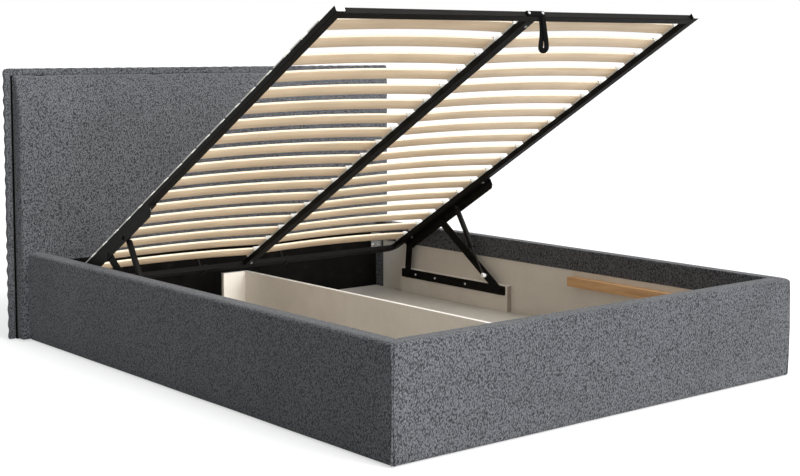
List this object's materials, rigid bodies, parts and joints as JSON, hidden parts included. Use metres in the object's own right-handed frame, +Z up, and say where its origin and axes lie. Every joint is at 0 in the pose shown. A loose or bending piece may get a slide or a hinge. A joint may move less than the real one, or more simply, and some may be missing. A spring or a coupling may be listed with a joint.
{
  "type": "upholstered storage bed",
  "caption": "Padded bed with a headboard; its slatted base lifts on coupled bars and gas struts over a divided storage box.",
  "frame": {"origin": "Middle of the bounding box's bottom: on the floor, half way across and half way from the foot panel's face to the headboard's back.", "axes": "+X to the right seen from the foot end, +Y from the foot end to the headboard, +Z up. The slatted base is open at rest."},
  "size_m": [1.85, 2.276, 1.2364],
  "materials": {
    "boucle": "blue-grey looped upholstery cloth",
    "backing": "black non-woven backing cloth",
    "board": "beige melamine-faced particle board",
    "core": "raw particle board",
    "softwood": "planed softwood, clear",
    "slat_wood": "laminated birch, satin lacquer",
    "black_steel": "black powder coat, semi-matt",
    "zinc": "bright zinc plate",
    "rod_steel": "black-nitrided rod and fittings",
    "holder_plastic": "pale moulded plastic",
    "cap_plastic": "white moulded plastic",
    "glide_felt": "black glide",
    "webbing": "black woven webbing"
  },
  "bodies": {
    "root": {"rail_board_left": "board", "rail_board_right": "board", "rail_cover_left": "boucle", "rail_cover_right": "boucle", "foot_board": "board", "foot_cover": "boucle", "headboard_board": "core", "headboard_pad": "boucle", "headboard_flange": "boucle", "headboard_back": "backing", "head_liner": "backing", "corner_brackets": "zinc", "bracket_screws": "zinc", "headboard_bolts": "zinc", "divider": "board", "divider_end_plate": "board", "floor_board_left": "board", "floor_board_right": "board", "floor_ledgers": "softwood", "glides": "glide_felt", "spacer_board_left": "board", "spacer_board_right": "board", "batten_left": "softwood", "batten_right": "softwood", "base_screws": "zinc", "base_rivets": "black_steel", "base_bar_left": "black_steel", "base_bar_right": "black_steel"},
    "front_link_left": {"front_link_left": "black_steel", "front_link_stud_left": "zinc"},
    "front_link_right": {"front_link_right": "black_steel", "front_link_stud_right": "zinc"},
    "rear_link_left": {"rear_link_left": "black_steel", "rear_link_rivet_left": "black_steel"},
    "rear_link_right": {"rear_link_right": "black_steel", "rear_link_rivet_right": "black_steel"},
    "slatted_base": {"arm_left": "black_steel", "arm_right": "black_steel", "arm_rivets": "black_steel", "arm_ball_studs": "black_steel", "side_tube_left": "black_steel", "side_tube_right": "black_steel", "head_tube": "black_steel", "foot_tube": "black_steel", "centre_tube": "black_steel", "frame_bolts": "zinc", "end_caps": "cap_plastic", "slats_left": "slat_wood", "slats_right": "slat_wood", "outer_holders": "holder_plastic", "centre_holders": "holder_plastic", "mattress_stop_left": "black_steel", "mattress_stop_right": "black_steel", "strap_plate": "black_steel", "strap_screws": "zinc"},
    "strap": {"strap": "webbing"},
    "strut_cylinder_left": {"strut_cylinder_left": "black_steel"},
    "strut_rod_left": {"strut_rod_left": "rod_steel"},
    "strut_cylinder_right": {"strut_cylinder_right": "black_steel"},
    "strut_rod_right": {"strut_rod_right": "rod_steel"}
  },
  "joints": [
    {"name": "lift", "type": "hinge", "parent": "root", "child": "front_link_left", "pos_m": [-0.787, 0.218, 0.129], "axis": [-1, 0, 0], "range_deg": [0, 24.54], "stiffness_Nm_per_rad": 300, "springref_deg": -68.75},
    {"name": "base_tilt", "type": "hinge", "parent": "front_link_left", "child": "slatted_base", "pos_m": [-0.787, 0.57496, 0.37884], "axis": [1, 0, 0], "range_deg": [0, 55.27]},
    {"name": "front_link_turn_right", "type": "hinge", "parent": "root", "child": "front_link_right", "pos_m": [0.787, 0.218, 0.129], "axis": [-1, 0, 0], "range_deg": [0, 24.56]},
    {"name": "rear_link_turn_left", "type": "hinge", "parent": "slatted_base", "child": "rear_link_left", "pos_m": [-0.787, 0.78915, 0.25166], "axis": [-1, 0, 0], "range_deg": [0, 86.39]},
    {"name": "strut_turn_left", "type": "hinge", "parent": "slatted_base", "child": "strut_cylinder_left", "pos_m": [-0.771, 0.46324, 0.45099], "axis": [-1, 0, 0], "range_deg": [0, 70.32]},
    {"name": "strut_stroke_left", "type": "slide", "parent": "strut_cylinder_left", "child": "strut_rod_left", "axis": [0, 0.5336, 0.8457], "range_m": [0, 0.10252]},
    {"name": "rear_link_turn_right", "type": "hinge", "parent": "slatted_base", "child": "rear_link_right", "pos_m": [0.787, 0.78915, 0.25166], "axis": [-1, 0, 0], "range_deg": [0, 86.39]},
    {"name": "strut_turn_right", "type": "hinge", "parent": "slatted_base", "child": "strut_cylinder_right", "pos_m": [0.771, 0.46324, 0.45099], "axis": [-1, 0, 0], "range_deg": [0, 70.32]},
    {"name": "strut_stroke_right", "type": "slide", "parent": "strut_cylinder_right", "child": "strut_rod_right", "axis": [0, 0.5336, 0.8457], "range_m": [0, 0.10252]},
    {"name": "strap_swing", "type": "hinge", "parent": "slatted_base", "child": "strap", "pos_m": [0.024, -0.7838, 1.21434], "axis": [1, 0, 0], "range_deg": [-90, 25]}
  ],
  "couplings": [
    {"joint": "base_tilt", "follows": "lift", "ratio": 2.2509},
    {"joint": "front_link_turn_right", "follows": "lift", "ratio": 1},
    {"joint": "rear_link_turn_left", "follows": "lift", "ratio": 3.5184},
    {"joint": "strut_turn_left", "follows": "lift", "ratio": 2.8636},
    {"joint": "strut_stroke_left", "follows": "lift", "m_per_rad": 0.23921},
    {"joint": "rear_link_turn_right", "follows": "lift", "ratio": 3.5184},
    {"joint": "strut_turn_right", "follows": "lift", "ratio": 2.8636},
    {"joint": "strut_stroke_right", "follows": "lift", "m_per_rad": 0.23921}
  ]
}
